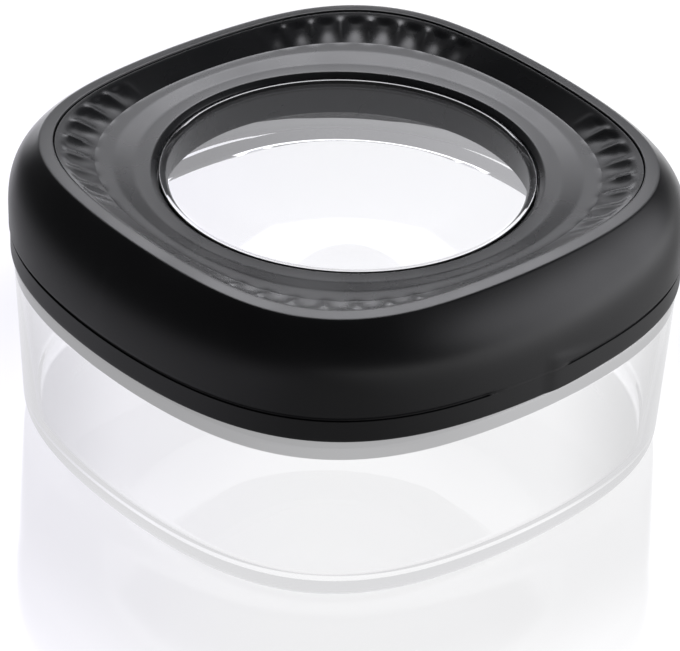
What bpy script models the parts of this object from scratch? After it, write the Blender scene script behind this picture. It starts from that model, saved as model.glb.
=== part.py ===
# Screw-top food container: a clear jar with a rounded-square body and a round threaded neck, and a dark
# lid made of a shell, a fluted dish and a clear window, with a soft ring seal under them. Metres, +Z up,
# standing on the floor at the origin with its flat sides across X and Y.
import math

import bmesh
import bpy

mm = 0.001

# The rounded-square outline: radius times 1 - cornerShare*square*cos(4t) + edgeShare*square^2*cos(8t)
cornerShare = 0.040
edgeShare = 0.0022
jarSquare = 1.15
skirtSquare = 1.0
rimSquare = 1.465
dishSquare = 1.5

# Clearances
gap = 0.3 * mm
threadGap = 0.4 * mm
skirtLift = 0.4 * mm

# Window. The neck gets its width from it, and the body gets its width from the neck
windowRadius = 29.7 * mm
windowThickness = 1.8 * mm
windowMargin = 6.8 * mm
beadWidth = 0.9 * mm
beadRise = 0.25 * mm
beadSlope = 0.3 * mm
windowRound = 0.3 * mm

# Jar
wallThickness = 1.5 * mm
baseThickness = 2.3 * mm
neckWall = 2.1 * mm
neckBore = windowRadius + windowMargin
neckRadius = neckBore + neckWall
shoulderWidth = 11.7 * mm
wallTopRadius = neckRadius + shoulderWidth
wallTaper = 1.3 * mm
wallLowRadius = wallTopRadius - wallTaper
baseRound = 3.2 * mm
footRadius = wallLowRadius - baseRound
footWidth = 5.0 * mm
footRecess = 0.5 * mm
shoulderHeight = 30.2 * mm
shoulderThickness = 3.0 * mm
shoulderRound = (1.6 * mm, 1.6 * mm)
shoulderThinning = 0.8 * mm
floorThinning = 1.2 * mm
coveDepth = 1.6 * mm
coveWidth = 1.8 * mm
coveSquare = 0.9
neckHeight = 12.8 * mm
neckTop = shoulderHeight + neckHeight
neckFillet = 0.8 * mm
lipRound = 0.4 * mm

# Four-start thread
threadStarts = 4
threadLead = 20.0 * mm
ribHeight = 1.4 * mm
ribRootHalf = 1.1 * mm
ribCrestHalf = 0.5 * mm
ribEmbed = 0.6 * mm
ribHeadroom = 0.35 * mm
jarRibFromTop = 6.2 * mm
jarRibTurn = math.radians(81)
lidRibDrop = 1.75 * mm
lidRibLag = math.radians(18.7)
lidRibTurn = math.radians(40.5)
ribStep = math.radians(4.5)
ribTaperSteps = 3
ribEndShare = 0.15

# Seal, between the neck and the lid's plate
sealInset = 0.5 * mm
sealInner = neckBore - sealInset
sealWidth = 3.2 * mm
sealOuter = sealInner + sealWidth
sealThickness = 1.0 * mm
sealRound = 0.3 * mm

# Lid shell
skirtOverhang = 0.7 * mm
skirtRadius = wallTopRadius + skirtOverhang
skirtEdge = 0.4 * mm
skirtWall = 1.6 * mm
bulgeSwell = 0.2 * mm
bulgeRadius = skirtRadius + bulgeSwell
grooveHeight = 3.75 * mm
grooveDepth = 0.4 * mm
grooveLip = 0.25 * mm
grooveFloor = 0.3 * mm
grooveRamp = 0.55 * mm
grooveGap = (-0.26, 0.03)
rimInset = 5.5 * mm
rimRadius = skirtRadius - rimInset
rimBand = 2.1 * mm
rimInner = rimRadius - rimBand
bulgeSteps = 7
bulgePower = 3.0
squarePower = 1.6
plateUnder = neckTop + gap + sealThickness + gap
plateThickness = 1.1 * mm
plateTop = plateUnder + plateThickness
plateInset = 1.0 * mm
plateHole = sealInner + plateInset
plateSeat = 2.7 * mm
edgeChamfer = 0.4 * mm
hollowDrop = 0.3 * mm
hollowInset = 4.2 * mm
hollowTurn = (2.5 * mm, 2.2 * mm)
hollowSquare = (1.15, 1.1)
skirtUpright = 7.5 * mm
innerSkirtWall = 1.8 * mm
innerSkirtDepth = 13.3 * mm
innerSkirtBottom = plateUnder - innerSkirtDepth

# Dish and its flutes, and the collar under it, each height from the one before
ringHeight = plateTop + 0.45 * mm
lipWidth = 1.2 * mm
lipDrop = 0.65 * mm
lipHeight = ringHeight - lipDrop
windowTop = lipHeight
windowUnder = windowTop - windowThickness
ledgeWidth = 0.8 * mm
collarWall = 2.4 * mm
collarDepth = 6.2 * mm
ringStepRadius = windowRadius + 3.6 * mm
ringStepHeight = ringHeight + 0.1 * mm
ringOuterRadius = ringStepRadius + 2.9 * mm
ringOuterHeight = ringStepHeight + 0.4 * mm
slopeFootRadius = ringOuterRadius + 3.2 * mm
slopeFootHeight = ringOuterHeight + 0.25 * mm
slopeRise = 2.15 * mm
dishEdgeHeight = slopeFootHeight + slopeRise
dishEdgeThickness = 1.0 * mm
slopeRows = ((0.82, 1.3, 0.6), (0.42, 0.75, 1.0))
footRelief = 0.6
fluteDepth = 0.5 * mm
flutePitch = math.radians(6.4)
fluteSpan = 4.5 * flutePitch
rimLip = 0.37 * mm
rimHeight = dishEdgeHeight + rimLip

# Index tab on the +X side of the skirt
tabReach = 13.0 * mm
tabStart = -1.0 * mm
tabHeight = 7.1 * mm
tabRise = 0.3 * mm
tabSink = 0.15 * mm
tabBack = 1.0 * mm
tabSlope = 0.25
tabColumns = 6

bodySteps = 80
dishSteps = 96
roundSteps = 64
flatColumns = 3


def clearScene():
    for obj in list(bpy.data.objects):
        bpy.data.objects.remove(obj, do_unlink=True)
    for mesh in list(bpy.data.meshes):
        bpy.data.meshes.remove(mesh)


def makeMaterial(name, colour, roughness, alpha=1.0, transmission=0.0):
    made = bpy.data.materials.new(name)
    made.use_nodes = True
    shader = made.node_tree.nodes["Principled BSDF"]
    shader.inputs["Base Color"].default_value = (*colour, 1.0)
    shader.inputs["Roughness"].default_value = roughness
    shader.inputs["Metallic"].default_value = 0.0
    shader.inputs["Alpha"].default_value = alpha
    shader.inputs["Transmission Weight"].default_value = transmission
    made.diffuse_color = (*colour, alpha)
    return made


def outlineFactor(turn, square):
    corner = cornerShare * square * math.cos(4 * turn)
    return 1.0 - corner + edgeShare * square**2 * math.cos(8 * turn)


def asHelper(obj):
    obj.hide_render = True
    obj.display_type = "WIRE"


def applied(obj):
    # The object's evaluated mesh takes the place of its modifiers.
    graph = bpy.context.evaluated_depsgraph_get()
    mesh = bpy.data.meshes.new_from_object(obj.evaluated_get(graph))
    old = obj.data
    obj.modifiers.clear()
    obj.data = mesh
    bpy.data.meshes.remove(old)


def tidied(obj):
    work = bmesh.new()
    work.from_mesh(obj.data)
    bmesh.ops.remove_doubles(work, verts=work.verts, dist=1e-7)
    bmesh.ops.recalc_face_normals(work, faces=work.faces)
    work.to_mesh(obj.data)
    work.free()


def profileObject(name, points, closed, home):
    mesh = bpy.data.meshes.new(name)
    work = bmesh.new()
    corners = [work.verts.new((radius, 0.0, height)) for radius, height in points]
    ends = list(zip(corners, corners[1:]))
    if closed:
        ends.append((corners[-1], corners[0]))
    for pair in ends:
        work.edges.new(pair)
    work.to_mesh(mesh)
    work.free()
    obj = bpy.data.objects.new(name, mesh)
    home.objects.link(obj)
    return obj


def screwed(obj, angle, rise, steps):
    spin = obj.modifiers.new("Screw", "SCREW")
    spin.axis = "Z"
    spin.angle = angle
    spin.screw_offset = rise
    spin.steps = steps
    spin.render_steps = steps
    spin.use_merge_vertices = rise == 0.0
    spin.merge_threshold = 1e-6
    bpy.context.view_layer.update()
    applied(obj)


def evenTurn(turn):
    return turn


def dishTurn(turn):
    # Wide steps along the flat sides, and in each corner a step for every crest and hollow of the flutes.
    perSide = dishSteps / 4
    wide = (math.pi / 2 - 2 * fluteSpan) / (2 * flatColumns)
    side, part = divmod(turn / (2 * math.pi) * dishSteps + 1e-6, perSide)
    if part <= flatColumns:
        inside = part * wide
    elif part <= perSide - flatColumns:
        inside = flatColumns * wide + (part - flatColumns) * flutePitch / 2
    else:
        inside = math.pi / 2 - (perSide - part) * wide
    return side * math.pi / 2 + inside


def revolved(name, rows, closed, steps, home, spread=evenTurn, relief=None):
    # Each row is radius, height, square share and relief share. The round solid is turned first, then drawn
    # out to the rounded-square outline.
    obj = profileObject(name, [row[:2] for row in rows], closed, home)
    screwed(obj, 2 * math.pi, 0.0, steps)
    for vertex in obj.data.vertices:
        reach = math.hypot(vertex.co.x, vertex.co.y)
        height = vertex.co.z
        row = min(rows, key=lambda r: abs(r[0] - reach) + abs(r[1] - height))
        if row[0] == 0.0:
            continue
        turn = spread(math.atan2(vertex.co.y, vertex.co.x) % (2 * math.pi))
        out, up = relief(turn) if relief and row[3] else (0.0, 0.0)
        radius = row[0] * outlineFactor(turn, row[2]) + out * row[3]
        vertex.co = (radius * math.cos(turn), radius * math.sin(turn), row[1] + up * row[3])
    tidied(obj)
    return obj


def arcRows(centre, reach, start, end, count, square):
    # Points on a quarter turn of an ellipse, angles in degrees from +X towards +Z.
    rows = []
    for index in range(count + 1):
        angle = math.radians(start + (end - start) * index / count)
        radius = centre[0] + reach[0] * math.cos(angle)
        rows.append((radius, centre[1] + reach[1] * math.sin(angle), square, 0.0))
    return rows


def joined(obj, others):
    for other in others:
        union = obj.modifiers.new("Union", "BOOLEAN")
        union.operation = "UNION"
        union.solver = "EXACT"
        union.object = other
    bpy.context.view_layer.update()
    applied(obj)
    for other in others:
        mesh = other.data
        bpy.data.objects.remove(other, do_unlink=True)
        bpy.data.meshes.remove(mesh)


def threadRib(name, turn, angle, root, crest, height, home):
    # One rib of the thread: its section is screwed along the lead, and its crest sinks at both ends.
    sign = 1.0 if crest > root else -1.0
    inner = root - sign * ribEmbed
    slope = (ribRootHalf - ribCrestHalf) / abs(crest - root)
    deepHalf = ribRootHalf + slope * ribEmbed
    points = [(inner, -deepHalf), (crest, -ribCrestHalf), (crest, ribCrestHalf), (inner, deepHalf)]
    steps = round(angle / ribStep)
    obj = profileObject(name, points, True, home)
    screwed(obj, angle, threadLead * angle / (2 * math.pi), steps)
    for vertex in obj.data.vertices:
        along = math.atan2(vertex.co.y, vertex.co.x) % (2 * math.pi)
        fromEnd = max(0.0, min(along, angle - along)) / ribStep
        reach = math.hypot(vertex.co.x, vertex.co.y)
        if abs(reach - crest) < 1e-6 and fromEnd < ribTaperSteps:
            share = ribEndShare + (1 - ribEndShare) * fromEnd / ribTaperSteps
            reach = root + (crest - root) * share
        spot = along + turn
        vertex.co = (reach * math.cos(spot), reach * math.sin(spot), vertex.co.z + height)
    work = bmesh.new()
    work.from_mesh(obj.data)
    bmesh.ops.holes_fill(work, edges=[edge for edge in work.edges if edge.is_boundary])
    bmesh.ops.recalc_face_normals(work, faces=work.faces)
    work.to_mesh(obj.data)
    work.free()
    asHelper(obj)
    return obj


def threaded(obj, root, crest, angle, lag, height, home):
    ribs = []
    for start in range(threadStarts):
        turn = start * 2 * math.pi / threadStarts + lag
        ribs.append(threadRib("rib", turn, angle, root, crest, height, home))
    joined(obj, ribs)


def smoothed(obj, material, angle=32.0):
    obj.data.materials.clear()
    obj.data.materials.append(material)
    obj.data.shade_smooth()
    obj.data.set_sharp_from_angle(angle=math.radians(angle))


def makeJar(home, cutters):
    footInner = footRadius - footWidth
    outer = [(0.0, footRecess, 0.0, 0.0), (footInner - footRecess, footRecess, jarSquare, 0.0)]
    outer += [(footInner, 0.0, jarSquare, 0.0)]
    outer += arcRows((footRadius, baseRound), (baseRound, baseRound), -90, 0, 5, jarSquare)
    wallEnd = shoulderHeight - shoulderRound[1]
    middle = (wallLowRadius + wallTopRadius) / 2
    outer += [(middle, (baseRound + wallEnd) / 2, jarSquare, 0.0)]
    shoulderEdge = wallTopRadius - shoulderRound[0]
    outer += arcRows((shoulderEdge, wallEnd), shoulderRound, 0, 90, 4, jarSquare)
    outer += [(neckRadius + neckFillet, shoulderHeight, 0.0, 0.0)]
    outer += [(neckRadius, shoulderHeight + neckFillet, 0.0, 0.0)]
    outer += [(neckRadius, neckTop - lipRound, 0.0, 0.0), (neckRadius - lipRound, neckTop, 0.0, 0.0)]
    inner = [(neckBore + lipRound, neckTop, 0.0, 0.0), (neckBore, neckTop - lipRound, 0.0, 0.0)]
    ceiling = shoulderHeight - shoulderThickness
    inner += [(neckBore, ceiling + coveDepth, 0.0, 0.0)]
    inner += [(neckBore + coveWidth, ceiling, coveSquare, 0.0)]
    inside = (shoulderRound[0] - shoulderThinning, shoulderRound[1] - shoulderThinning)
    drawn = wallTopRadius - wallThickness - inside[0]
    inner += arcRows((drawn, ceiling - inside[1]), inside, 90, 0, 3, jarSquare)
    floorRound = baseRound - floorThinning
    floorEdge = wallLowRadius - wallThickness - floorRound
    low = arcRows((floorEdge, baseThickness + floorRound), (floorRound, floorRound), 0, -90, 4, jarSquare)
    inner += low + [(0.0, baseThickness, 0.0, 0.0)]
    jar = revolved("jar", outer + inner, False, bodySteps, home)
    threaded(jar, neckRadius, neckRadius + ribHeight, jarRibTurn, 0.0, neckTop - jarRibFromTop, cutters)
    smoothed(jar, makeMaterial("jar", (0.92, 0.94, 0.96), 0.06, 0.35, 0.9))
    return jar


def grooveRelief(turn):
    # The groove stops where the smooth field before the index tab is.
    fromFront = (turn + math.pi) % (2 * math.pi) - math.pi
    smooth = grooveGap[0] < fromFront < grooveGap[1]
    return (0.0, 0.0) if smooth else (-grooveDepth, 0.0)


def bulgeRow(share, bottom):
    # The side swells above the groove and rounds over to the rim.
    height = bottom + (rimHeight - bottom) * share
    radius = bulgeRadius + (rimRadius - bulgeRadius) * share**bulgePower
    square = skirtSquare + (rimSquare - skirtSquare) * share**squarePower
    return (radius, height, square, 0.0)


def makeTab(skirtBottom, home):
    # A shallow raised wedge: one upright edge, from which it runs out into the side.
    mesh = bpy.data.meshes.new("tab")
    work = bmesh.new()
    bmesh.ops.create_grid(work, x_segments=tabColumns, y_segments=2, size=1.0)
    bmesh.ops.recalc_face_normals(work, faces=work.faces)
    front = list(work.faces)
    for vertex in work.verts:
        share = (vertex.co.x + 1) / 2
        level = (vertex.co.y + 1) / 2
        y = tabStart + share * tabReach
        out = bulgeRadius * outlineFactor(math.atan2(y, bulgeRadius), skirtSquare)
        rise = (tabRise + tabSink) * (1 - share) * (1 - 0.5 * level**2) - tabSink
        height = skirtBottom + skirtEdge + level * (tabHeight - skirtEdge) * (1 - tabSlope * share)
        vertex.co = (math.sqrt(out**2 - y**2) + rise, y, height)
    pushed = bmesh.ops.extrude_face_region(work, geom=front)
    back = [item for item in pushed["geom"] if isinstance(item, bmesh.types.BMVert)]
    bmesh.ops.translate(work, verts=back, vec=(-tabBack, 0.0, 0.0))
    bmesh.ops.recalc_face_normals(work, faces=work.faces)
    work.to_mesh(mesh)
    work.free()
    obj = bpy.data.objects.new("tab", mesh)
    home.objects.link(obj)
    asHelper(obj)
    return obj


def makeShell(home, cutters):
    bottom = shoulderHeight + skirtLift
    line = bottom + grooveHeight
    rows = [(skirtRadius - skirtEdge, bottom, skirtSquare, 0.0)]
    rows += [(skirtRadius, bottom + skirtEdge, skirtSquare, 0.0)]
    rows += [(skirtRadius, line - grooveLip, skirtSquare, 0.0), (skirtRadius, line, skirtSquare, 1.0)]
    rows += [(bulgeRadius, line + grooveFloor, skirtSquare, 1.0)]
    rows += [(bulgeRadius, line + grooveRamp, skirtSquare, 0.0)]
    for index in range(1, bulgeSteps + 1):
        share = 1 - (1 - index / (bulgeSteps + 0.4)) ** 1.35
        rows.append(bulgeRow(share, line + grooveRamp))
    rows += [(rimRadius, rimHeight, rimSquare, 0.0), (rimInner + gap, rimHeight, dishSquare, 0.0)]
    rows += [(rimInner, rimHeight - gap, dishSquare, 0.0)]
    rows += [(rimInner, dishEdgeHeight - dishEdgeThickness - gap, dishSquare, 0.0)]
    rows += [(plateHole + plateSeat, plateTop, 0.0, 0.0), (plateHole, plateTop, 0.0, 0.0)]
    bore = neckRadius + ribHeight + threadGap
    outer = bore + innerSkirtWall
    low = innerSkirtBottom
    rows += [(plateHole, plateUnder, 0.0, 0.0), (bore, plateUnder, 0.0, 0.0)]
    rows += [(bore, low + edgeChamfer, 0.0, 0.0), (bore + edgeChamfer, low, 0.0, 0.0)]
    rows += [(outer - edgeChamfer, low, 0.0, 0.0), (outer, low + edgeChamfer, 0.0, 0.0)]
    top = plateUnder - hollowDrop
    rows += [(outer, top, 0.0, 0.0), (bulgeRadius - hollowInset, top, hollowSquare[0], 0.0)]
    rows += [(bulgeRadius - hollowTurn[0], top - hollowTurn[1], hollowSquare[1], 0.0)]
    rows += [(skirtRadius - skirtWall, bottom + skirtUpright, skirtSquare, 0.0)]
    rows += [(skirtRadius - skirtWall, bottom, skirtSquare, 0.0)]
    shell = revolved("lid_shell", rows, True, bodySteps, home, relief=grooveRelief)
    crest = neckRadius + ribHeadroom
    threaded(shell, bore, crest, lidRibTurn, lidRibLag, lidRibHeight(), cutters)
    joined(shell, [makeTab(bottom, cutters)])
    smoothed(shell, makeMaterial("lid_shell", (0.012, 0.012, 0.013), 0.42))
    return shell


def lidRibHeight():
    # The lid's ribs run under the jar's, on the same lead.
    return neckTop - jarRibFromTop + threadLead * lidRibLag / (2 * math.pi) - lidRibDrop


def fluteRelief(turn):
    # Crests and hollows in each corner, strongest on the diagonal.
    away = (turn + math.pi / 4) % (math.pi / 2)
    away = min(away, math.pi / 2 - away)
    if away > fluteSpan - 1e-6:
        return 0.0, 0.0
    crest = 1.0 if round(away / (flutePitch / 2)) % 2 == 0 else -1.0
    return 0.0, crest * fluteDepth * math.cos(away / fluteSpan * math.pi / 2)


def makeDish(home):
    edge = rimInner - gap
    rows = [(edge, dishEdgeHeight, dishSquare, 0.0)]
    for share, square, relief in slopeRows:
        radius = slopeFootRadius + (edge - slopeFootRadius) * share
        rows.append((radius, slopeFootHeight + slopeRise * share, square, relief))
    rows += [(slopeFootRadius, slopeFootHeight, 0.0, footRelief)]
    rows += [(ringOuterRadius, ringOuterHeight, 0.0, 0.0), (ringStepRadius, ringStepHeight, 0.0, 0.0)]
    hole = windowRadius + gap
    ledge = windowRadius - ledgeWidth
    low = plateUnder - collarDepth
    rows += [(windowRadius + lipWidth, ringHeight, 0.0, 0.0), (hole, lipHeight, 0.0, 0.0)]
    rows += [(hole, windowUnder - gap, 0.0, 0.0), (ledge, windowUnder - gap, 0.0, 0.0)]
    rows += [(ledge, low + edgeChamfer, 0.0, 0.0), (ledge + edgeChamfer, low, 0.0, 0.0)]
    collar = ledge + collarWall
    rows += [(collar - edgeChamfer, low, 0.0, 0.0), (collar, low + edgeChamfer, 0.0, 0.0)]
    rows += [(collar, plateUnder, 0.0, 0.0), (plateHole - gap, plateUnder, 0.0, 0.0)]
    rows += [(plateHole - gap, plateTop + gap, 0.0, 0.0)]
    rows += [(plateHole + plateSeat, plateTop + gap, 0.0, 0.0)]
    rows += [(edge, dishEdgeHeight - dishEdgeThickness, dishSquare, 0.0)]
    dish = revolved("lid_dish", rows, True, dishSteps, home, spread=dishTurn, relief=fluteRelief)
    smoothed(dish, makeMaterial("lid_dish", (0.035, 0.036, 0.038), 0.38), 18.0)
    return dish


def makeWindow(home):
    panelTop = windowTop - beadRise
    bead = windowRadius - beadWidth
    rows = [(0.0, panelTop, 0.0, 0.0), (bead - beadSlope, panelTop, 0.0, 0.0)]
    rows += [(bead, windowTop, 0.0, 0.0), (windowRadius - windowRound, windowTop, 0.0, 0.0)]
    rows += [(windowRadius, windowTop - windowRound, 0.0, 0.0), (windowRadius, windowUnder, 0.0, 0.0)]
    rows += [(0.0, windowUnder, 0.0, 0.0)]
    window = revolved("lid_window", rows, False, roundSteps, home)
    smoothed(window, makeMaterial("lid_window", (0.95, 0.96, 0.97), 0.04, 0.25, 0.95))
    return window


def makeSeal(home):
    low = neckTop + gap
    high = plateUnder - gap
    rows = []
    for radius, height in ((sealOuter, low), (sealOuter, high), (sealInner, high), (sealInner, low)):
        side = sealRound if radius == sealInner else -sealRound
        rise = sealRound if height == low else -sealRound
        corner = [(radius + side, height, 0.0, 0.0), (radius, height + rise, 0.0, 0.0)]
        rows += corner if (side < 0) == (rise > 0) else corner[::-1]
    seal = revolved("seal", rows, True, roundSteps, home)
    smoothed(seal, makeMaterial("seal", (0.62, 0.62, 0.60), 0.6))
    return seal


def build():
    clearScene()
    scene = bpy.context.scene
    home = bpy.data.collections.new("screw_top_food_container")
    cutters = bpy.data.collections.new("helpers")
    scene.collection.children.link(home)
    scene.collection.children.link(cutters)
    makeJar(home, cutters)
    makeShell(home, cutters)
    makeDish(home)
    makeWindow(home)
    makeSeal(home)
    cutters.hide_render = True


build()
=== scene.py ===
import math

import bmesh
import bpy
from mathutils import Matrix, Vector


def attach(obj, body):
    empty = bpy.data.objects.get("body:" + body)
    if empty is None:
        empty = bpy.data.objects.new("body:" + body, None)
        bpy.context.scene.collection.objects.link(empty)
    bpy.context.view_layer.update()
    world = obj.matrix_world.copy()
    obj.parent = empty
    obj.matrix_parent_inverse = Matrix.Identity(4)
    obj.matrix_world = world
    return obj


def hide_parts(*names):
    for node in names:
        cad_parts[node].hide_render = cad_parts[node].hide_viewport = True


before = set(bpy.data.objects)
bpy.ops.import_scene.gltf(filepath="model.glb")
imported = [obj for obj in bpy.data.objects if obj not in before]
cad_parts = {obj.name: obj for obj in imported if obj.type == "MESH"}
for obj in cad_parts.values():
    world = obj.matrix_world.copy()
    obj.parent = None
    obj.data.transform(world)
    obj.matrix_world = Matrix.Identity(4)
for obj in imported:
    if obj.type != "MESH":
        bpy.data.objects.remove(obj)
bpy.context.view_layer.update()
mm = 0.001
weld = 1e-7

# Directions on the table, as the photograph shows it
upward = (0.0, 0.0, 1.0)
behind = (-0.75, 0.66, 0.0)
rightward = (0.66, 0.75, 0.0)

# Each ring is a rounded square, its radius times 1 - corner*square*cos(4t) + edge*square^2*cos(8t).
# The other values are how square the rings of the pieces are
outline = {"corner": 0.040, "edge": 0.0022, "jar": 1.15, "skirt": 1.0, "rim": 1.465, "dish": 1.5}


def outlineFactor(turn, square):
    corner = outline["corner"] * square * math.cos(4 * turn)
    return 1 - corner + outline["edge"] * square**2 * math.cos(8 * turn)


def smoothStep(value, low, high):
    share = min(1.0, max(0.0, (value - low) / (high - low)))
    return share * share * (3 - 2 * share)


def linear(text):
    # sRGB hex to the linear values that shaders take
    channels = [int(text[i : i + 2], 16) / 255 for i in (1, 3, 5)]
    values = [c / 12.92 if c <= 0.04045 else ((c + 0.055) / 1.055) ** 2.4 for c in channels]
    return (*values, 1.0)


def addNode(tree, kind, settings=None, links=None):
    node = tree.nodes.new(kind)
    for name, value in (settings or {}).items():
        if isinstance(name, int) or name in node.inputs:
            node.inputs[name].default_value = value
        else:
            setattr(node, name, value)
    for name, source in (links or {}).items():
        tree.links.new(source, node.inputs[name])
    return node


def softRange(tree, value, low, high, bottom, top):
    settings = {"From Min": low, "From Max": high, "To Min": bottom, "To Max": top}
    settings["interpolation_type"] = "SMOOTHSTEP"
    return addNode(tree, "ShaderNodeMapRange", settings, {"Value": value}).outputs[0]


def maths(tree, operation, first, second=0.0):
    settings = {"operation": operation}
    links = {}
    for index, value in enumerate((first, second)):
        (settings if isinstance(value, float) else links)[index] = value
    return addNode(tree, "ShaderNodeMath", settings, links).outputs[0]


def alongAxis(tree, place, direction):
    settings = {"operation": "DOT_PRODUCT", 1: direction}
    return addNode(tree, "ShaderNodeVectorMath", settings, {0: place}).outputs["Value"]


def newMaterial(name):
    made = bpy.data.materials.new(name)
    made.use_nodes = True
    made.node_tree.nodes.clear()
    return made, made.node_tree


def finishMaterial(tree, surface):
    addNode(tree, "ShaderNodeOutputMaterial", links={"Surface": surface})


# Turned pieces are drawn ring by ring from rows of radius, height and squareness, in mm
def rounded(points, steps):
    # A point is a row and its corner's rounding, which takes up less than half of the edges beside it
    most = 0.48
    rows = []
    for index, (radius, height, square, fillet) in enumerate(points):
        if not fillet:
            rows.append((radius, height, square))
            continue
        corner = (radius, height, square)
        ends = []
        for other in (points[index - 1], points[(index + 1) % len(points)]):
            span = math.hypot(other[0] - radius, other[1] - height)
            share = min(fillet / span, most)
            ends.append([a + (b - a) * share for a, b in zip(corner, other)])
        for step in range(steps + 1):
            t = step / steps
            row = [
                (1 - t) ** 2 * a + 2 * t * (1 - t) * b + t * t * c
                for a, b, c in zip(ends[0], corner, ends[1])
            ]
            rows.append(tuple(row))
    return rows


def placeRing(mesh, row, relief):
    for vertex in mesh.verts:
        if not vertex.select:
            continue
        turn = math.atan2(vertex.co.y, vertex.co.x) % (2 * math.pi)
        radius, height = row[0] * outlineFactor(turn, row[2]), row[1]
        if relief:
            out, up = relief(turn, row[0], row[1])
            radius, height = radius + out, height + up
        vertex.co = (radius * mm * math.cos(turn), radius * mm * math.sin(turn), height * mm)


def drawToAxis(obj, height):
    # The selected ring is extruded and merged into one point on the axis
    bpy.ops.mesh.extrude_region()
    bpy.ops.mesh.merge(type="CENTER")
    mesh = bmesh.from_edit_mesh(obj.data)
    for vertex in mesh.verts:
        if vertex.select:
            vertex.co = (0, 0, height * mm)


def turned(name, rows, columns, relief=None):
    # Rows that start and end on the axis are closed there, and others run back to the first ring
    poles = [row[1] for row in (rows[0], rows[-1]) if row[0] == 0]
    rings = [row for row in rows if row[0] > 0]
    bpy.ops.object.select_all(action="DESELECT")
    bpy.ops.mesh.primitive_circle_add(vertices=columns, radius=rings[0][0] * mm)
    obj = bpy.context.object
    obj.name = obj.data.name = name
    bpy.ops.object.mode_set(mode="EDIT")
    bpy.ops.mesh.select_mode(type="VERT")
    bpy.ops.mesh.select_all(action="SELECT")
    placeRing(bmesh.from_edit_mesh(obj.data), rings[0], relief)
    for row in rings[1:] + ([] if poles else [rings[0]]):
        bpy.ops.mesh.extrude_region()
        placeRing(bmesh.from_edit_mesh(obj.data), row, relief)
    if poles:
        drawToAxis(obj, poles[1])
        bpy.ops.mesh.select_all(action="DESELECT")
        bpy.ops.mesh.select_non_manifold()
        drawToAxis(obj, poles[0])
    bpy.ops.mesh.select_all(action="SELECT")
    bpy.ops.mesh.remove_doubles(threshold=weld)
    bpy.ops.mesh.normals_make_consistent(inside=False)
    bpy.ops.object.mode_set(mode="OBJECT")
    return obj


def finishPiece(obj, material, node, body, angle):
    obj.data.materials.clear()
    obj.data.materials.append(material)
    bpy.ops.object.select_all(action="DESELECT")
    obj.select_set(True)
    bpy.context.view_layer.objects.active = obj
    bpy.ops.object.shade_smooth_by_angle(angle=math.radians(angle))
    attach(obj, body)
    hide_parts(node)
    print(f"{obj.name}: {len(obj.data.polygons)} faces")


def merged(obj, others):
    # The others are fused into the piece, as one moulding
    for other in others:
        union = obj.modifiers.new("Union", "BOOLEAN")
        union.operation = "UNION"
        union.solver = "EXACT"
        union.object = other
        bpy.ops.object.select_all(action="DESELECT")
        bpy.context.view_layer.objects.active = obj
        obj.select_set(True)
        bpy.ops.object.modifier_apply(modifier=union.name)
        bpy.data.objects.remove(other, do_unlink=True)


# Thread: ribs with a tapered start and end, on the neck's outside and the lid's inside
thread = {
    "starts": 4,
    "lead": 20.0,
    "rootHalf": 1.1,
    "crestHalf": 0.5,
    "embed": 0.6,
    "step": 1.5,
    "taper": 12.0,
    "endShare": 0.1,
    "crestNear": 0.01,
}


def threadRib(name, root, crest, sweep, turn, height):
    # Drawn as a short strip of its section, extruded round the axis and up the lead
    sign = 1 if crest > root else -1
    inner = root - sign * thread["embed"]
    crestHalf = thread["crestHalf"]
    slope = (thread["rootHalf"] - crestHalf) / abs(crest - root)
    deepHalf = thread["rootHalf"] + slope * thread["embed"]
    bpy.ops.object.select_all(action="DESELECT")
    bpy.ops.mesh.primitive_plane_add(size=mm)
    obj = bpy.context.object
    obj.name = name
    corners = [(inner, -deepHalf), (crest, -crestHalf), (crest, crestHalf), (inner, deepHalf)]
    bpy.ops.object.mode_set(mode="EDIT")
    mesh = bmesh.from_edit_mesh(obj.data)
    order = [loop.vert for loop in list(mesh.faces)[0].loops]
    for vertex, corner in zip(order, corners):
        vertex.co = (corner[0] * mm, 0, corner[1] * mm)
    bmesh.update_edit_mesh(obj.data)
    count = round(sweep / thread["step"])
    angle = math.radians(sweep / count)
    rise = thread["lead"] * mm * angle / (2 * math.pi)
    step = Matrix.Rotation(angle, 3, "Z")
    bpy.ops.mesh.select_all(action="SELECT")
    for _ in range(count):
        bpy.ops.mesh.extrude_region()
        mesh = bmesh.from_edit_mesh(obj.data)
        chosen = [vertex for vertex in mesh.verts if vertex.select]
        bmesh.ops.rotate(mesh, verts=chosen, cent=(0, 0, 0), matrix=step)
        bmesh.ops.translate(mesh, verts=chosen, vec=(0, 0, rise))
    for vertex in mesh.verts:
        along = math.degrees(math.atan2(vertex.co.y, vertex.co.x)) % 360
        reach = math.hypot(vertex.co.x, vertex.co.y) / mm
        fromEnd = max(0.0, min(along, sweep - along)) / thread["taper"]
        if abs(reach - crest) < thread["crestNear"] and fromEnd < 1:
            share = thread["endShare"] + (1 - thread["endShare"]) * smoothStep(fromEnd, 0, 1)
            reach = root + (crest - root) * share
        spot = math.radians(along) + turn
        level = vertex.co.z + height * mm
        vertex.co = (reach * mm * math.cos(spot), reach * mm * math.sin(spot), level)
    bpy.ops.mesh.select_all(action="SELECT")
    bpy.ops.mesh.normals_make_consistent(inside=False)
    bpy.ops.object.mode_set(mode="OBJECT")
    return obj


def threadRibs(root, piece):
    crest, sweep, height = piece["ribCrest"], piece["ribSweep"], piece["ribStart"]
    ribs = []
    for start in range(thread["starts"]):
        turn = start * 2 * math.pi / thread["starts"] + math.radians(piece["ribLag"])
        ribs.append(threadRib("rib", root, crest, sweep, turn, height))
    return ribs


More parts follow.
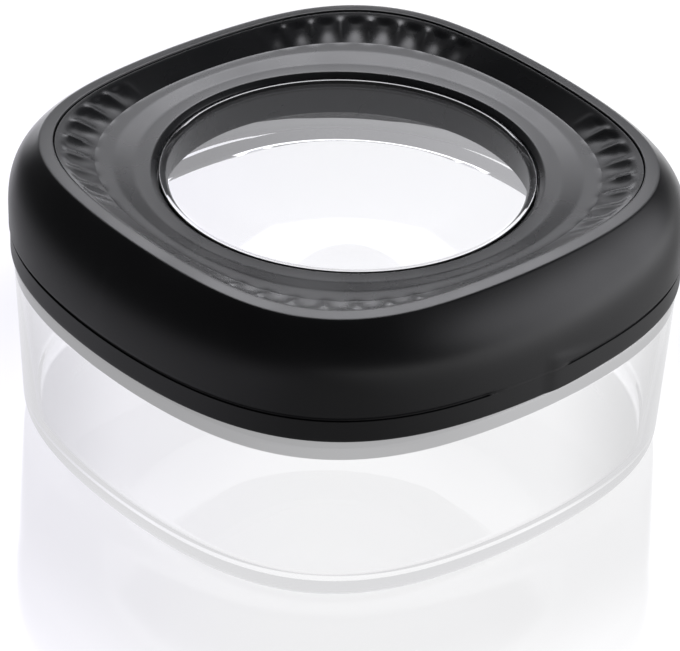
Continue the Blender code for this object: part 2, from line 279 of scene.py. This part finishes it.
# Light inside the clear pieces: how much of a lamp passes, where across the jar the shoulder's
# painted shade goes from left to front and from front to right, and where the neck's painted glow
# begins, in metres
inside = {
    "passing": 0.9,
    "leftHalf": (-0.034, 0.006),
    "rightHalf": (0.004, 0.034),
    "neckFoot": (0.031, 0.034),
    "neck": 0.92,
}


def clearPlastic(name, tint, paintedGlow):
    # Clear SAN: bright, slightly cool, with hard edge glints. Lamps pass through it, as they do
    # through a thin wall. Where light has run a long way inside it, it is painted with an even glow,
    # and the thick shoulder is painted as a grey band of shade, where light has run long or first
    # enters it
    material, tree = newMaterial(name)
    path = addNode(tree, "ShaderNodeLightPath")
    passing = maths(tree, "MULTIPLY", path.outputs["Is Shadow Ray"], inside["passing"])
    shader = addNode(
        tree,
        "ShaderNodeBsdfPrincipled",
        {"Base Color": linear(tint), "Roughness": 0.0, "IOR": 1.57, "Transmission Weight": 1.0},
        {"Alpha": maths(tree, "SUBTRACT", 1.0, passing)},
    )
    place = addNode(tree, "ShaderNodeTexCoord").outputs["Object"]
    height = alongAxis(tree, place, upward)
    across = alongAxis(tree, place, rightward)
    over = maths(tree, "GREATER_THAN", height, paintedGlow["low"] * mm)
    under = maths(tree, "LESS_THAN", height, paintedGlow["high"] * mm)
    within = maths(tree, "MULTIPLY", over, under)
    # Painted shade: the grey shoulder band, from left to front to right
    toRight = paintedGlow["right"] - paintedGlow["front"]
    leftHalf = softRange(tree, across, *inside["leftHalf"], paintedGlow["left"], paintedGlow["front"])
    rightHalf = softRange(tree, across, *inside["rightHalf"], 0.0, toRight)
    shoulder = maths(tree, "ADD", leftHalf, rightHalf)
    # Painted glow of the body, brightest at the neck
    body = softRange(tree, height, *inside["neckFoot"], paintedGlow["body"], inside["neck"])
    paintedStrength = addNode(tree, "ShaderNodeMix", {}, {0: within, 2: body, 3: shoulder}).outputs[0]
    light = addNode(tree, "ShaderNodeEmission", {"Color": linear("#fdfdff")}, {"Strength": paintedStrength})
    # The painted glow takes over after many surfaces, and the painted shade where a ray first enters
    # the band
    deepPaintedMask = maths(tree, "GREATER_THAN", path.outputs["Ray Depth"], paintedGlow["reach"])
    first = maths(tree, "COMPARE", path.outputs["Transmission Depth"], 1.0)
    paintedBandMask = maths(tree, "MULTIPLY", within, first)
    surfaces = {0: maths(tree, "MAXIMUM", deepPaintedMask, paintedBandMask), 1: shader.outputs[0], 2: light.outputs[0]}
    mixed = addNode(tree, "ShaderNodeMixShader", {}, surfaces)
    finishMaterial(tree, mixed.outputs["Shader"])
    return material


# Jar: clear styrene-acrylonitrile, injection moulded and polished
jar = {
    "columns": 288,
    "roundSteps": 8,
    "smooth": 30,
    "footRecess": 0.35,
    "footInner": 40.8,
    "footFlat": 12,
    "footRound": 1.5,
    "footSlant": 1.8,
    "footEdgeRound": 0.9,
    "low": 49.0,
    "lowInset": 0.1,
    "top": 50.3,
    "base": 2.3,
    "wall": 1.5,
    "baseRound": 3.75,
    "innerRound": 3.6,
    "shoulder": 30.2,
    "shoulderFall": 0.02,
    "shoulderRound": 1.6,
    "shoulderWall": 3.0,
    "ceilingRound": 0.8,
    "flare": 1.8,
    "flareHeight": 1.6,
    "flareSquare": 0.9,
    "flareRound": 0.6,
    "neck": 38.6,
    "neckRound": 1.0,
    "bore": 36.5,
    "boreRound": 0.8,
    "neckTop": 43.0,
    "lipRound": 0.5,
    "ribCrest": 40.0,
    "ribSweep": 81.0,
    "ribStart": 36.8,
    "ribLag": 0.3,
}

# Painted glow of light that has run inside the jar, in its body, and painted shade of the grey
# shoulder band at its left, front and right; the band goes from low to high. Reach is how many
# surfaces light meets before the painted glow takes over
jarPaintedGlowAndShade = {
    "reach": 3.5,
    "low": 26.6,
    "high": 30.7,
    "body": 0.72,
    "left": 0.34,
    "front": 0.43,
    "right": 0.5,
}


def makeJar():
    j = jar
    square = outline["jar"]
    centre = j["footInner"] - j["footFlat"]
    inner = j["low"] - j["wall"]
    ceiling = j["shoulder"] - j["shoulderWall"]
    rows = [(0, j["footRecess"], square)]
    rows += rounded(
        [
            (centre, j["footRecess"], square, 0),
            (j["footInner"], j["footRecess"], square, j["footRound"]),
            (j["footInner"] + j["footSlant"], 0, square, j["footEdgeRound"]),
            (j["low"] - j["lowInset"], 0, square, j["baseRound"]),
            (j["top"], j["shoulder"] - j["shoulderFall"], square, j["shoulderRound"]),
            (j["neck"], j["shoulder"], 0, j["neckRound"]),
            (j["neck"], j["neckTop"], 0, j["lipRound"]),
            (j["bore"], j["neckTop"], 0, j["lipRound"]),
            (j["bore"], ceiling + j["flareHeight"], 0, j["boreRound"]),
            (j["bore"] + j["flare"], ceiling, j["flareSquare"], j["flareRound"]),
            (j["top"] - j["wall"], ceiling - j["shoulderFall"], square, j["ceilingRound"]),
            (inner, j["base"], square, j["innerRound"]),
            (centre, j["base"], square, 0),
        ],
        j["roundSteps"],
    )
    rows += [(0, j["base"], square)]
    obj = turned("clear_jar", rows, j["columns"])
    merged(obj, threadRibs(j["neck"], j))
    plastic = clearPlastic("moulded clear SAN with painted glow and shade", "#fdfdfd", jarPaintedGlowAndShade)
    finishPiece(obj, plastic, "jar", "jar", j["smooth"])


makeJar()

# Lid shell: black polypropylene, satin from a fine spark-eroded mould
shell = {
    "columns": 288,
    "footSteps": 4,
    "roundSteps": 5,
    "smooth": 40,
    "roughness": 0.31,
    "grain": 0.2,
    "bottom": 30.5,
    "skirt": 51.0,
    "bulge": 51.2,
    "bulgeStep": (3.6, 4.4),
    "levels": (
        1.2, 1.9, 2.6, 3.2, 3.5, 3.65, 3.75, 3.85, 4.0,
        4.2, 4.3, 4.4, 4.5, 4.6, 4.8, 5.2, 5.7,
    ),
    "footRoundIn": 0.3,
    "footRoundOut": 0.5,
    "groove": 3.85,
    "grooveDepth": 0.45,
    "grooveBelow": 0.3,
    "grooveEdges": (-0.12, 0.05, 0.5, 0.8),
    "grooveGap": (-13.4, -11.0, 1.6, 3.2),
    "rim": 45.6,
    "rimHeight": 49.42,
    "rimInner": 43.4,
    "rimFall": 0.26,
    "rimRoundOut": 0.35,
    "rimRoundIn": 0.3,
    "rimFootHeight": 47.8,
    "bulgeSpread": 1.25,
    "bulgePower": 3.0,
    "squarePower": 1.6,
    "bulgeRows": 22,
    "tabStart": -1.0,
    "tabReach": 13.0,
    "tabFull": 1.0,
    "tabHeight": 7.1,
    "tabSlant": 0.25,
    "tabSoft": 1.2,
    "tabRise": 0.26,
    "tabStep": 0.3,
    "reliefIn": 0.05,
    "reliefOver": 1,
    "wall": 1.6,
    "plateTop": 45.7,
    "plateUnder": 44.6,
    "plateHole": 37.0,
    "plateBand": 2.7,
    "plateRound": 0.2,
    "bore": 40.4,
    "boreRound": 0.4,
    "innerWall": 1.8,
    "innerBottom": 31.3,
    "innerRound": 0.5,
    "hollowDrop": 0.3,
    "hollowRound": 0.6,
    "hollowTop": (4.2, 1.15, 1.0),
    "hollowSide": (2.5, 2.2, 1.1),
    "skirtTop": (7.5, 1.5),
    "ribCrest": 38.95,
    "ribSweep": 40.5,
    "ribLag": 18.7,
    "ribStart": 36.09,
}


def tabLift(turn, height):
    # The index tab stands proud at one upright edge and runs out towards +Y
    s = shell
    along = s["skirt"] * math.sin(turn) - s["tabStart"]
    if math.cos(turn) < 0 or not -s["tabStep"] < along < s["tabReach"]:
        return 0.0
    top = s["tabHeight"] * (1 - s["tabSlant"] * max(0.0, along) / s["tabReach"])
    side = smoothStep(along, -s["tabStep"], 0)
    side *= 1 - smoothStep(along, s["tabFull"], s["tabReach"])
    return s["tabRise"] * side * (1 - smoothStep(height - s["bottom"], top - s["tabSoft"], top))


def shellRelief(turn, radius, height):
    # The groove round the skirt's outside, which stops beside the tab, and the tab itself
    s = shell
    highest = s["bottom"] + s["tabHeight"] + s["reliefOver"]
    if radius < s["skirt"] - s["wall"] + s["reliefIn"] or height > highest:
        return 0.0, 0.0
    keep = 1.0
    if math.cos(turn) > 0:
        y = s["skirt"] * math.sin(turn)
        start, full, low, high = s["grooveGap"]
        keep = 1 - smoothStep(y, start, full) * (1 - smoothStep(y, low, high))
    line = s["bottom"] + s["groove"]
    start, full, low, high = (line + edge for edge in s["grooveEdges"])
    depth = smoothStep(height, start, full) * (1 - smoothStep(height, low, high))
    return tabLift(turn, height) - s["grooveDepth"] * keep * depth, 0.0


# Satin moulded plastic: a fine cloud of noise is its grain and a broad one varies its sheen
satin = {"fine": 3300.0, "depth": 0.00003, "broad": 90.0, "cloud": (0.3, 0.7), "spread": 0.03}


def satinPlastic(name, colour, piece):
    # Polypropylene: a deep tone with a broad soft sheen, and a 0.3 mm grain that is too fine to see
    material, tree = newMaterial(name)
    place = {"Vector": addNode(tree, "ShaderNodeTexCoord").outputs["Object"]}
    fine = addNode(tree, "ShaderNodeTexNoise", {"Scale": satin["fine"], "Detail": 2.0}, place)
    broad = addNode(tree, "ShaderNodeTexNoise", {"Scale": satin["broad"], "Detail": 3.0}, place)
    sheen = addNode(
        tree,
        "ShaderNodeMapRange",
        {
            "From Min": satin["cloud"][0],
            "From Max": satin["cloud"][1],
            "To Min": piece["roughness"] - satin["spread"],
            "To Max": piece["roughness"] + satin["spread"],
        },
        {"Value": broad.outputs["Fac"]},
    )
    bump = addNode(
        tree,
        "ShaderNodeBump",
        {"Strength": piece["grain"], "Distance": satin["depth"]},
        {"Height": fine.outputs["Fac"]},
    )
    shader = addNode(
        tree,
        "ShaderNodeBsdfPrincipled",
        {"Base Color": linear(colour), "IOR": 1.49},
        {"Roughness": sheen.outputs["Result"], "Normal": bump.outputs["Normal"]},
    )
    finishMaterial(tree, shader.outputs["BSDF"])
    return material


def makeShell():
    s = shell
    skirt, rimSquare, dishSquare = outline["skirt"], outline["rim"], outline["dish"]
    skirtInner = s["skirt"] - s["wall"]
    line = s["bottom"] + s["groove"]
    foot = [
        (skirtInner, s["bottom"], skirt, s["footRoundIn"]),
        (s["skirt"], s["bottom"], skirt, s["footRoundOut"]),
        (s["skirt"], line - s["grooveBelow"], skirt, 0),
    ]
    rows = rounded(foot, s["footSteps"])[:-1]
    for level in s["levels"]:
        radius = s["skirt"] + (s["bulge"] - s["skirt"]) * smoothStep(level, *s["bulgeStep"])
        rows.append((radius, s["bottom"] + level, skirt))
    start = s["bottom"] + s["levels"][-1]
    rimEdge = s["rimHeight"] - s["rimFall"]
    for index in range(1, s["bulgeRows"] + 1):
        share = 1 - (1 - index / s["bulgeRows"]) ** s["bulgeSpread"]
        radius = s["bulge"] + (s["rim"] - s["bulge"]) * share ** s["bulgePower"]
        square = skirt + (rimSquare - skirt) * share ** s["squarePower"]
        rows.append((radius, start + (rimEdge - start) * share, square))
    outer = s["bore"] + s["innerWall"]
    hollow = s["plateUnder"] - s["hollowDrop"]
    topInset, topSquare, topRound = s["hollowTop"]
    sideInset, sideDrop, sideSquare = s["hollowSide"]
    skirtTop, skirtRound = s["skirtTop"]
    points = [
        rows[-2] + (0,),
        (s["rim"], rimEdge, rimSquare, s["rimRoundOut"]),
        (s["rimInner"], s["rimHeight"], dishSquare, s["rimRoundIn"]),
        (s["rimInner"], s["rimFootHeight"], dishSquare, 0),
        (s["plateHole"] + s["plateBand"], s["plateTop"], 0, 0),
        (s["plateHole"], s["plateTop"], 0, s["plateRound"]),
        (s["plateHole"], s["plateUnder"], 0, s["plateRound"]),
        (s["bore"], s["plateUnder"], 0, s["boreRound"]),
        (s["bore"], s["innerBottom"], 0, s["innerRound"]),
        (outer, s["innerBottom"], 0, s["innerRound"]),
        (outer, hollow, 0, s["hollowRound"]),
        (s["bulge"] - topInset, hollow, topSquare, topRound),
        (s["bulge"] - sideInset, hollow - sideDrop, sideSquare, 0),
        (skirtInner, s["bottom"] + skirtTop, skirt, skirtRound),
        (skirtInner, s["bottom"], skirt, 0),
    ]
    rows = rows[:-1] + rounded(points, s["roundSteps"])[1:-1]
    obj = turned("black_lid_shell", rows, s["columns"], shellRelief)
    merged(obj, threadRibs(s["bore"], s))
    plastic = satinPlastic("satin black polypropylene", "#0c0c0e", s)
    finishPiece(obj, plastic, "lid_shell", "lid", s["smooth"])


makeShell()

# Dish: dark grey insert with scooped flutes in its corners, and stepped rings round the window
dish = {
    "columns": 720,
    "edgeSteps": 3,
    "roundSteps": 4,
    "smooth": 30,
    "roughness": 0.28,
    "grain": 0.06,
    "edge": 43.25,
    "edgeHeight": 49.15,
    "edgeRound": 0.12,
    "edgeWidth": 0.4,
    "edgeFall": 0.2,
    "slopeRows": 26,
    "slopePower": 0.9,
    "slopeFoot": 38.3,
    "footSquare": 0.8,
    "slopeFootHeight": 46.72,
    "slopeFootRound": 1.2,
    "rings": ((36.0, 46.68, 0.5, 0.4), (33.4, 46.2, 0.15, 0.4), (30.9, 46.15, 0, 0.2)),
    "lip": 45.5,
    "hole": 30.0,
    "ledge": 28.9,
    "ledgeHeight": 43.4,
    "collar": 31.3,
    "collarBottom": 38.4,
    "collarRound": 0.3,
    "smallRound": 0.1,
    "fluteInner": 37.9,
    "fluteOuter": 42.7,
    "fluteDepth": 0.54,
    "flutePitch": 6.4,
    "fluteSpan": 28.8,
    "fluteFade": 9,
    "fluteFoot": (-0.03, 0.6),
    "fluteTop": (0.74, 1.0),
    "fluteRidge": 0.45,
    "under": 48.1,
    "plate": 46.0,
    "plateBand": 3.0,
    "plugRadius": 36.7,
    "plugBottom": 44.6,
}


def fluteRelief(turn, radius, height):
    # Scoops in each corner that meet in sharp ridges. They are deepest well up the slope, and
    # fade out at its foot, at the rim and towards the flat sides
    d = dish
    if not d["fluteInner"] < radius < d["fluteOuter"] or height < d["rings"][0][1]:
        return 0.0, 0.0
    away = math.degrees(turn) % 90 - 45
    fade = 1 - smoothStep(abs(away), d["fluteSpan"] - d["fluteFade"], d["fluteSpan"])
    along = (radius - d["fluteInner"]) / (d["fluteOuter"] - d["fluteInner"])
    scoop = abs(math.sin(math.pi * away / d["flutePitch"]))
    reach = smoothStep(along, *d["fluteFoot"]) * (1 - smoothStep(along, *d["fluteTop"]))
    return 0.0, d["fluteDepth"] * fade * reach * (d["fluteRidge"] - scoop)


def makeDish():
    d = dish
    square, footSquare = outline["dish"], d["footSquare"]
    slopeTop = d["edge"] - d["edgeWidth"]
    slopeTopHeight = d["edgeHeight"] - d["edgeFall"]
    rows = rounded(
        [
            (d["plugRadius"], d["plate"], 0, 0),
            (d["plugRadius"] + d["plateBand"], d["plate"], 0, 0),
            (d["edge"], d["under"], square, 0),
            (d["edge"], d["edgeHeight"], square, d["edgeRound"]),
            (slopeTop, slopeTopHeight, square, 0),
        ],
        d["edgeSteps"],
    )
    for index in range(1, d["slopeRows"] + 1):
        share = index / d["slopeRows"]
        radius = slopeTop + (d["slopeFoot"] - slopeTop) * share
        height = slopeTopHeight + (d["slopeFootHeight"] - slopeTopHeight) * share
        still = (1 - share) ** d["slopePower"]
        rows.append((radius, height, footSquare + (square - footSquare) * still))
    rows += rounded(
        [
            rows[-2] + (0,),
            (d["slopeFoot"], d["slopeFootHeight"], footSquare, d["slopeFootRound"]),
            *d["rings"],
            (d["hole"], d["lip"], 0, d["smallRound"]),
            (d["hole"], d["ledgeHeight"], 0, d["smallRound"]),
            (d["ledge"], d["ledgeHeight"], 0, d["smallRound"]),
            (d["ledge"], d["collarBottom"], 0, d["collarRound"]),
            (d["collar"], d["collarBottom"], 0, d["collarRound"]),
            (d["collar"], d["plugBottom"], 0, d["smallRound"]),
            (d["plugRadius"], d["plugBottom"], 0, d["smallRound"]),
            (d["plugRadius"], d["plate"], 0, 0),
        ],
        d["roundSteps"],
    )[1:-1]
    obj = turned("fluted_dish", rows, d["columns"], fluteRelief)
    plastic = satinPlastic("satin graphite polypropylene", "#161719", d)
    finishPiece(obj, plastic, "lid_dish", "lid", d["smooth"])


makeDish()

# Window: clear round pane with a raised bead, flanged under the dish
window = {
    "columns": 192,
    "roundSteps": 5,
    "smooth": 30,
    "radius": 29.7,
    "top": 45.5,
    "panelFlat": 10,
    "bead": 0.9,
    "beadRise": 0.25,
    "beadFoot": (0.3, 0.3),
    "beadSide": (0.2, 0.4),
    "topRound": 0.5,
    "under": 43.7,
    "underRound": 0.2,
}

# Painted glow of light that has run inside the window, which has no shoulder
windowPaintedGlow = {
    "reach": 8.5,
    "low": 60.0,
    "high": 61.0,
    "body": 0.88,
    "left": 0.88,
    "front": 0.88,
    "right": 0.88,
}


def makeWindow():
    w = window
    panelTop = w["top"] - w["beadRise"]
    bead = w["radius"] - w["bead"]
    centre = bead - w["panelFlat"]
    footInset, footRound = w["beadFoot"]
    sideInset, sideRound = w["beadSide"]
    rows = [(0, panelTop, 0)]
    rows += rounded(
        [
            (centre, panelTop, 0, 0),
            (bead - footInset, panelTop, 0, footRound),
            (bead + sideInset, w["top"], 0, sideRound),
            (w["radius"], w["top"], 0, w["topRound"]),
            (w["radius"], w["under"], 0, w["underRound"]),
            (centre, w["under"], 0, 0),
        ],
        w["roundSteps"],
    )
    rows += [(0, w["under"], 0)]
    obj = turned("clear_window", rows, w["columns"])
    plastic = clearPlastic("polished clear window SAN with painted glow", "#fdfdff", windowPaintedGlow)
    finishPiece(obj, plastic, "lid_window", "lid", w["smooth"])


makeWindow()

# Seal: pale silicone ring
seal = {
    "columns": 192,
    "roundSteps": 4,
    "smooth": 60,
    "inner": 36.0,
    "outer": 39.2,
    "low": 43.3,
    "high": 44.3,
    "round": 0.4,
}


def siliconeRubber():
    # Natural silicone: milky grey, soft and slightly see-through
    material, tree = newMaterial("milky grey silicone")
    place = {"Vector": addNode(tree, "ShaderNodeTexCoord").outputs["Object"]}
    cloud = addNode(tree, "ShaderNodeTexNoise", {"Scale": 400.0, "Detail": 2.0}, place)
    tone = addNode(
        tree,
        "ShaderNodeMix",
        {"data_type": "RGBA", 6: linear("#a6a6a4"), 7: linear("#bcbcba")},
        {0: cloud.outputs["Fac"]},
    )
    shader = addNode(
        tree,
        "ShaderNodeBsdfPrincipled",
        {"Roughness": 0.45, "IOR": 1.41, "Subsurface Weight": 0.3, "Subsurface Scale": 0.001},
        {"Base Color": tone.outputs[2]},
    )
    finishMaterial(tree, shader.outputs["BSDF"])
    return material


def makeSeal():
    s = seal
    outer, inner, low, high = s["outer"], s["inner"], s["low"], s["high"]
    corners = [(outer, low), (outer, high), (inner, high), (inner, low)]
    rows = rounded([corner + (0, s["round"]) for corner in corners], s["roundSteps"])
    obj = turned("silicone_seal", rows, s["columns"])
    finishPiece(obj, siliconeRubber(), "seal", "seal", s["smooth"])


makeSeal()

# Stage: a glossy white table in a dim room. Through is how bright either looks through the jar
stage = {"size": 6.0, "drop": 0.00003, "through": 0.93}

# The table's glow, with painted shade and reflections. Each range holds two places in metres and the
# brightness at the first and the second, away from the jar, beside it, or along a direction
paintedTableGlow = {
    # Near, beside, right, middle and back: painted reflections, how bright the satin lid sees the
    # table
    "near": (0.09, 0.4, 0.28, 0.0),
    "beside": (0.02, 0.08, 0.3, 1.0),
    "rightAxis": (0.88, 0.48, 0.0),
    "right": (0.08, 0.35, 0.12, 0.95),
    "middle": (0.06, 0.22, 2.4, 0.0),
    "back": (0.0, 0.25, 0.0, 1.0),
    # Painted shade and reflection round the jar's foot, in a rounded square
    "paintedFootShade": (0.056, 0.084, 0.84, 1.02),
    "squarePower": 3.0,
    # Painted shade at the jar's ends and painted brightening behind it, seen through the clear pieces
    "ends": (0.033, 0.049, 0.0, 0.25),
    "beyondJar": (0.0, 0.05, stage["through"], 1.13),
    # Painted cool tint of the reflection on the left half
    "tint": (-0.05, 0.0, 0.0, 1.0),
}

# The room's light: plain all round, and bright low along the horizon behind. Each lamp has its
# direction, the cosines where it begins and is full, and its strength: high behind, softly on both
# sides of that, and from the right
room = {
    "plain": 0.06,
    "backAxis": (-0.805, 0.593, 0.0),
    "back": (0.83, 0.93, 0.0, 1.0),
    "horizon": (0.05, 0.22, 3.3, 0.0),
    "glint": 0.19,
    "straight": (0.3, 0.5),
    "lamps": [
        ((-0.492, 0.433, 0.755), 0.954, 0.976, 5.6),
        ((-0.41, 0.74, 0.53), 0.95, 0.99, 1.3),
        ((-0.806, 0.315, 0.5), 0.955, 0.992, 1.4),
        ((0.61, 0.75, 0.26), 0.80, 0.99, 2.3),
    ],
}


def whiteAcrylic():
    # Polished white acrylic sheet, glowing as if lit through from below. Painted shade and reflection
    # make it a little dimmer round the jar's foot, and painted reflections make the satin lid see it
    # brightest straight behind and on the right. Seen through the clear pieces, it has painted shade
    # at the jar's ends and is painted brighter behind the jar, and its left half has a painted cool
    # tint of the reflection
    material, tree = newMaterial("polished white acrylic with painted shade and reflections")
    path = addNode(tree, "ShaderNodeLightPath")
    place = addNode(tree, "ShaderNodeTexCoord").outputs["Object"]
    across = alongAxis(tree, place, rightward)
    aside = maths(tree, "ABSOLUTE", across)
    backward = alongAxis(tree, place, behind)
    length = {"operation": "LENGTH"}
    away = addNode(tree, "ShaderNodeVectorMath", length, {0: place}).outputs["Value"]
    # Painted reflections: how bright the satin lid sees the table near the jar, behind it and on the
    # right
    near = softRange(tree, away, *paintedTableGlow["near"])
    beside = softRange(tree, aside, *paintedTableGlow["beside"])
    right = softRange(tree, alongAxis(tree, place, paintedTableGlow["rightAxis"]), *paintedTableGlow["right"])
    middle = softRange(tree, aside, *paintedTableGlow["middle"])
    back = maths(tree, "MULTIPLY", softRange(tree, backward, *paintedTableGlow["back"]), middle)
    paintedNearReflection = maths(tree, "MULTIPLY", near, beside)
    seen = maths(tree, "ADD", paintedNearReflection, maths(tree, "MAXIMUM", right, back))
    # Painted shade and reflection round the jar's foot: dimmer inside a rounded square
    power = paintedTableGlow["squarePower"]
    square = [
        maths(tree, "POWER", maths(tree, "ABSOLUTE", alongAxis(tree, place, axis)), power)
        for axis in ((1.0, 0.0, 0.0), (0.0, 1.0, 0.0))
    ]
    beyond = maths(tree, "POWER", maths(tree, "ADD", *square), 1 / power)
    paintedFootShade = softRange(tree, beyond, *paintedTableGlow["paintedFootShade"])
    # Painted shade at the jar's ends and painted brightening behind it, seen through the clear pieces
    ends = softRange(tree, aside, *paintedTableGlow["ends"])
    through = maths(tree, "SUBTRACT", softRange(tree, backward, *paintedTableGlow["beyondJar"]), ends)
    singular = path.outputs["Is Singular Ray"]
    bare = addNode(tree, "ShaderNodeMix", {}, {0: singular, 2: paintedFootShade, 3: through}).outputs[0]
    rough = maths(tree, "SUBTRACT", 1.0, singular)
    satinRay = maths(tree, "MULTIPLY", path.outputs["Is Glossy Ray"], rough)
    paintedGlow = addNode(tree, "ShaderNodeMix", {}, {0: satinRay, 2: bare, 3: seen})
    # Painted cool tint of the reflection on the left half
    tint = addNode(
        tree,
        "ShaderNodeMix",
        {"data_type": "RGBA", 6: linear("#f9f8ff"), 7: linear("#fefeff")},
        {0: softRange(tree, across, *paintedTableGlow["tint"])},
    )
    shader = addNode(
        tree,
        "ShaderNodeBsdfPrincipled",
        {"Base Color": linear("#3c3c3e"), "Roughness": 0.1, "IOR": 1.5},
        {"Emission Strength": paintedGlow.outputs[0], "Emission Color": tint.outputs[2]},
    )
    finishMaterial(tree, shader.outputs["BSDF"])
    return material


def makeFloor():
    bpy.ops.object.select_all(action="DESELECT")
    bpy.ops.mesh.primitive_plane_add(size=stage["size"], location=(0, 0, -stage["drop"]))
    floor = bpy.context.object
    floor.name = "studio_floor"
    bpy.ops.object.transform_apply(location=True, rotation=False, scale=False)
    floor.data.materials.append(whiteAcrylic())


def makeRoom():
    world = bpy.data.worlds.new("studio room")
    bpy.context.scene.world = world
    world.use_nodes = True
    tree = world.node_tree
    tree.nodes.clear()
    look = addNode(tree, "ShaderNodeTexCoord").outputs["Generated"]
    level = alongAxis(tree, look, upward)
    back = softRange(tree, alongAxis(tree, look, room["backAxis"]), *room["back"])
    low = softRange(tree, level, *room["horizon"])
    total = maths(tree, "ADD", maths(tree, "MULTIPLY", back, low), room["plain"])
    for direction, edge, middle, strength in room["lamps"]:
        lamp = softRange(tree, alongAxis(tree, look, direction), edge, middle, 0.0, strength)
        total = maths(tree, "ADD", total, lamp)
    path = addNode(tree, "ShaderNodeLightPath")
    straight = softRange(tree, level, *room["straight"], stage["through"], room["glint"])
    passed = {0: path.outputs["Is Transmission Ray"], 3: straight}
    white = addNode(tree, "ShaderNodeMix", {2: room["glint"]}, passed)
    sharp = {0: path.outputs["Is Singular Ray"], 2: total, 3: white.outputs[0]}
    seen = addNode(tree, "ShaderNodeMix", {}, sharp)
    bright = {"Strength": seen.outputs[0]}
    shader = addNode(tree, "ShaderNodeBackground", {"Color": linear("#fafaff")}, bright)
    addNode(tree, "ShaderNodeOutputWorld", links={"Surface": shader.outputs[0]})


makeFloor()
makeRoom()
print("stage done")

# Camera: fitted to the rim, the skirt and the window of the photograph, in degrees and mm
view = {
    "azimuth": 48.608,
    "elevation": 32.938,
    "roll": 2.129,
    "distance": 612.0,
    "right": 0.276,
    "up": -11.556,
    "aim": 30.6,
    "lens": 204.31,
    "sensor": 36.0,
    "near": 0.01,
    "shift": -0.0059,
}


def makeCamera():
    turn, rise, roll = (math.radians(view[name]) for name in ("azimuth", "elevation", "roll"))
    flat = math.cos(rise)
    back = Vector((math.sin(turn) * flat, -math.cos(turn) * flat, math.sin(rise)))
    level = (-back).cross(Vector(upward)).normalized()
    upright = level.cross(-back)
    place = back * view["distance"] + level * view["right"] + upright * view["up"]
    place += Vector(upward) * view["aim"]
    across = level * math.cos(roll) + upright * math.sin(roll)
    up = upright * math.cos(roll) - level * math.sin(roll)
    lens = bpy.data.cameras.new("camera")
    lens.lens = view["lens"]
    lens.sensor_width = view["sensor"]
    lens.sensor_fit = "HORIZONTAL"
    lens.clip_start = view["near"]
    lens.shift_x = view["shift"]
    holder = bpy.data.objects.new("camera", lens)
    stance = Matrix((across, up, back)).transposed().to_4x4()
    holder.matrix_world = Matrix.Translation(place * mm) @ stance
    bpy.context.scene.collection.objects.link(holder)
    bpy.context.scene.camera = holder


makeCamera()
bpy.context.scene.view_settings.view_transform = "Standard"
